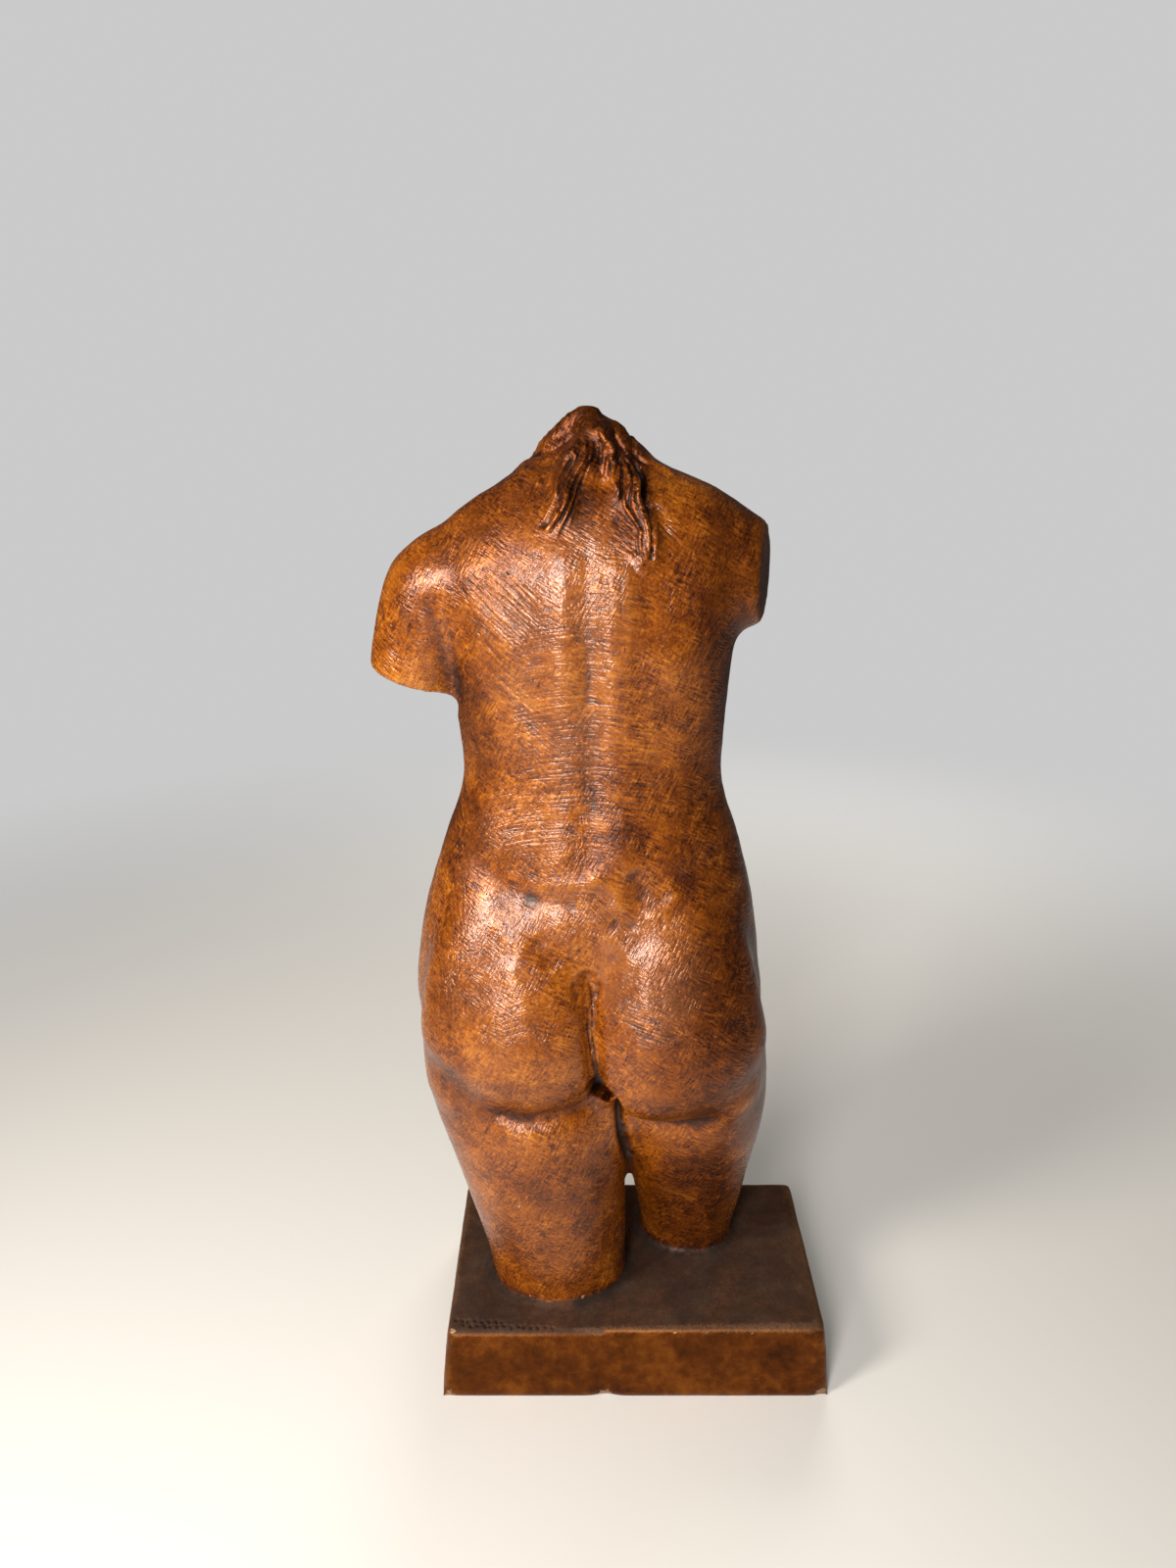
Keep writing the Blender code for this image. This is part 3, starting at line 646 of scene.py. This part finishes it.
def laid(name):
    """A value that was laid on the skin's points."""
    return Tone.made("ShaderNodeAttribute", {"attribute_name": name}, out="Fac")


def cloud(where, size, detail=2.0, roughness=0.5, distortion=0.0):
    """Soft noise from 0 to 1 whose blots are about so many millimetres across."""
    sockets = {"Vector": where, "Scale": 1 / (size * MM), "Detail": detail, "Roughness": roughness,
               "Distortion": distortion}
    return Tone.made("ShaderNodeTexNoise", {"noise_dimensions": "3D"}, sockets)


def strokes(where, lean, pitch, length, detail=1.0):
    """Noise drawn out into strokes that lean so many degrees from level, on the back or front."""
    turned = Tone.made("ShaderNodeMapping", {"vector_type": "TEXTURE"},
                       {"Vector": where, "Rotation": (0, -math.radians(lean), 0),
                        "Scale": (length * MM, length * MM, pitch * MM)})
    return Tone.made("ShaderNodeTexNoise", {"noise_dimensions": "3D"},
                     {"Vector": turned, "Scale": 1.0, "Detail": detail, "Roughness": 0.55})


patina = bpy.data.materials.new("patina")
patina.use_nodes = True
recipe = patina.node_tree
recipe.nodes.clear()

# Marks that run across the back hang in a shallow arch about the spine. In metres.
ARCH = 4.0
SPINE = -0.032
here = Tone.made("ShaderNodeTexCoord", out="Object")
x = Tone.made("ShaderNodeSeparateXYZ", sockets={0: here}, out=0)
y = Tone.made("ShaderNodeSeparateXYZ", sockets={0: here}, out=1)
z = Tone.made("ShaderNodeSeparateXYZ", sockets={0: here}, out=2)
arched = Tone.made("ShaderNodeCombineXYZ", sockets={0: x, 1: y, 2: z + ARCH * (x - SPINE) ** 2})

hollow = laid("hollow")
ridge = laid("ridge")
sheen = laid("sheen")
darker = laid("darker")
slab = laid("slab")
slab_top = laid("slab_top")
on_figure = 1 - slab

# Marks of the tools, as heights in millimetres.
broken = cloud(here, 7.0, 2.0).rising(0.32, 0.62)
across = strokes(arched, 0, 1.6, 17, 1.5) - 0.5
slanting = strokes(here, -42, 1.4, 20, 1.5) - 0.5
down = strokes(here, -84, 1.5, 16, 1.5) - 0.5
combed = (across * laid("combed_across") + slanting * laid("combed_slanting")
          + down * laid("combed_down")) * (0.35 + 0.65 * broken)
crossed = (strokes(here, 62, 1.2, 6) - 0.5) * cloud(here, 16).rising(0.35, 0.6)
crossed = crossed + (strokes(here, -28, 1.2, 6) - 0.5) * cloud(here, 13).rising(0.35, 0.6)
grain = cloud(here, 1.7, 1.5, 0.5) - 0.5
pits = cloud(here, 2.6, 1.0).rising(0.30, 0.22)
height = combed * 1.25 + crossed * 0.45 * on_figure + grain * 0.20 - pits * 0.2

# The colour, from dark pigment to bare orange.
blots = cloud(here, 34, 4.0, 0.6, 0.6)
spots = cloud(here, 9, 3.0, 0.6, 0.3)
specks = cloud(here, 1.6, 2.0, 0.6)
light = 0.49 + (blots - 0.5) * 0.34 + (spots - 0.5) * 0.22 + (specks - 0.5) * 0.30
# Painted shade and painted highlight come in here with the hollows, the ridges and the dark patches.
light = light + ridge * 0.12 - hollow * 0.22 - darker * 0.085
light = light + combed * 0.62 + crossed * 0.40 - pits * 0.14
SKIN_STOPS = [
    (0.20, (0.012, 0.003, 0.001)),
    (0.34, (0.054, 0.011, 0.001)),
    (0.46, (0.155, 0.035, 0.002)),
    (0.56, (0.275, 0.074, 0.004)),
    (0.74, (0.480, 0.175, 0.018)),
]
# A painted reflection: the sheen's pale pinkish tone, mixed in where the sheen patches and the wax blots lie.
PAINTED_SHEEN_TINT = (0.240, 0.090, 0.035)
colour = Tone.made("ShaderNodeValToRGB", {"stops": SKIN_STOPS}, {0: light})
wax_and_sheen_blots = cloud(here, 12, 3.0, 0.6).rising(0.30, 0.62)
colour = colour.towards(PAINTED_SHEEN_TINT, sheen * (0.10 + 0.20 * wax_and_sheen_blots))

# The slab: mottled brown sides, and a dark top with dust on it.
SIDE_STOPS = [
    (0.34, (0.040, 0.011, 0.001)),
    (0.50, (0.120, 0.031, 0.003)),
    (0.66, (0.240, 0.072, 0.007)),
]
TOP_STOPS = [
    (0.30, (0.014, 0.006, 0.003)),
    (0.52, (0.034, 0.015, 0.007)),
    (0.75, (0.090, 0.040, 0.017)),
]
DUST = (0.10, 0.08, 0.065)
dust = cloud(here, 26, 4.0, 0.65).rising(0.40, 0.70)
mottle = 0.65 * cloud(here, 30, 5.0, 0.62) + 0.35 * cloud(here, 7, 4.0, 0.6)
side_colour = Tone.made("ShaderNodeValToRGB", {"stops": SIDE_STOPS}, {0: mottle})
slab_side = slab * (1 - slab_top)
colour = colour.towards(side_colour, slab_side)
top_mottle = blots * 0.4 + spots * 0.35 + specks * 0.25
top_colour = Tone.made("ShaderNodeValToRGB", {"stops": TOP_STOPS}, {0: top_mottle})
top_colour = top_colour.towards(DUST, dust * 0.16)
colour = colour.towards(top_colour, slab_top * 0.92)

# Dark pigment left in the hollows, with painted shade in the narrow cut grooves, and the slab's arrises
# rubbed bare.
PIGMENT_AND_SHADE = (0.010, 0.004, 0.002)
RUBBED = (0.260, 0.120, 0.045)
colour = colour.towards(PIGMENT_AND_SHADE, hollow.rising(0.25, 1.0) * 0.62)
rubbed = slab * (ridge * (0.2 + 1.5 * specks)).rising(0.66, 1.0)
colour = colour.towards(RUBBED, rubbed * 0.18)

# Pale chips, ragged by noise.
CHIP = (0.36, 0.22, 0.12)
chipped = (laid("pale") + (cloud(here, 1.8, 3.0, 0.7) - 0.5) * 1.3).rising(0.50, 0.62)
colour = colour.towards(CHIP, chipped)

# How rough and how metallic: wax and rubbed ridges shine, and the slab's sides show warm metal.
gloss = 0.27 - 0.05 * wax_and_sheen_blots * sheen - 0.05 * ridge + 0.20 * hollow + 0.12 * darker + 0.38 * slab_top
gloss = gloss + (specks - 0.5) * 0.24 + slab * 0.16
bare = 0.10 + 0.40 * darker * on_figure + 0.82 * slab_side + 0.3 * slab_top
bump = Tone.made("ShaderNodeBump", None, {"Strength": 1.0, "Distance": 1.0 * MM, "Height": height})
metal = Tone.made("ShaderNodeBsdfPrincipled", None, {
    "Base Color": colour, "Roughness": gloss, "Metallic": bare, "Normal": bump, "IOR": 1.52})
Tone.made("ShaderNodeOutputMaterial", None, {"Surface": metal})

cast.data.materials.append(patina)
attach(cast, "root")
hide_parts("torso")


# The floor it stands on: a wide pale sheet, which isn't part of the object. It is matt and plain,
# and fades away from its middle, so that no horizon shows behind the cast.
FLOOR_RADIUS = 6.0
FADE_ENDS = 1.5
FADE_STARTS = 0.45
floor_mesh = bpy.data.meshes.new("floor")
sheet = bmesh.new()
bmesh.ops.create_circle(sheet, cap_ends=True, segments=96, radius=FLOOR_RADIUS)
sheet.to_mesh(floor_mesh)
sheet.free()
floor = linked("floor", floor_mesh)
pale_floor = bpy.data.materials.new("pale_floor")
pale_floor.use_nodes = True
recipe = pale_floor.node_tree
recipe.nodes.clear()
out_from_middle = Tone.made("ShaderNodeVectorMath", {"operation": "LENGTH"},
                            {0: Tone.made("ShaderNodeTexCoord", out="Object")}, out="Value")
sheet_skin = Tone.made("ShaderNodeBsdfPrincipled", None, {
    "Base Color": (0.68, 0.67, 0.65, 1), "Roughness": 0.8,
    "Alpha": out_from_middle.rising(FADE_ENDS, FADE_STARTS)})
Tone.made("ShaderNodeOutputMaterial", None, {"Surface": sheet_skin})
floor_mesh.materials.append(pale_floor)


# The light: a soft lamp on the left, a tall soft one beside the camera that makes the sheen down
# the back, a wide one over the other side, a weak one on the right, and a pale room around them.
MIDDLE = Vector((0, 0, 0.32))


def lamp(name, place, size, watts, warmth, mirrored=True):
    """A soft oblong lamp that looks at the cast's middle. One that isn't mirrored makes no sheen."""
    glow = bpy.data.lights.new(name, "AREA")
    glow.shape = "RECTANGLE"
    glow.size, glow.size_y = size
    glow.energy = watts
    glow.color = warmth
    made = bpy.data.objects.new(name, glow)
    bpy.context.scene.collection.objects.link(made)
    made.location = place
    made.rotation_euler = (MIDDLE - Vector(place)).to_track_quat("-Z", "Y").to_euler()
    made.visible_glossy = mirrored


lamp("side_lamp", (-0.82, -0.62, 0.80), (0.28, 0.46), 13.5, (1.0, 0.92, 0.82))
lamp("tall_lamp", (-0.24, -0.94, 0.68), (0.22, 0.72), 13.5, (1.0, 0.96, 0.90))
lamp("front_lamp", (0.40, 1.60, 0.80), (0.9, 0.9), 20, (1.0, 0.96, 0.90), mirrored=False)
lamp("fill", (1.5, -1.2, 0.9), (1.2, 1.2), 0.3, (0.95, 0.97, 1.0), mirrored=False)

room = bpy.data.worlds.new("room")
room.use_nodes = True
recipe = room.node_tree
recipe.nodes.clear()
straight = Tone.made("ShaderNodeLightPath", out="Is Camera Ray")
air = Tone.made("ShaderNodeBackground", None, {
    "Color": (0.86, 0.86, 0.86, 1), "Strength": 0.07 + 0.62 * straight})
Tone.made("ShaderNodeOutputWorld", None, {"Surface": air})
bpy.context.scene.world = room
bpy.context.scene.view_settings.view_transform = "Standard"


# The camera, at the photograph's place: a little over the shoulders and to the left, tipped down
# to the plinth. Its lens and its tip follow from the photograph's height, its horizon's row and
# its focal length, in pixels.
PHOTO_HEIGHT = 1600
HORIZON_ROW = 388
FOCAL_LENGTH = 1202
SENSOR = 36
PLACE = (-0.03125, -0.6791064, 0.632)

eye = bpy.data.cameras.new("camera")
eye.sensor_fit = "AUTO"
eye.sensor_width = SENSOR
eye.lens = SENSOR * FOCAL_LENGTH / PHOTO_HEIGHT
eye.clip_start = 0.01
camera = bpy.data.objects.new("camera", eye)
bpy.context.scene.collection.objects.link(camera)
camera.location = PLACE
camera.rotation_euler = (math.pi / 2 - math.atan((PHOTO_HEIGHT / 2 - HORIZON_ROW) / FOCAL_LENGTH), 0, 0)
bpy.context.scene.camera = camera
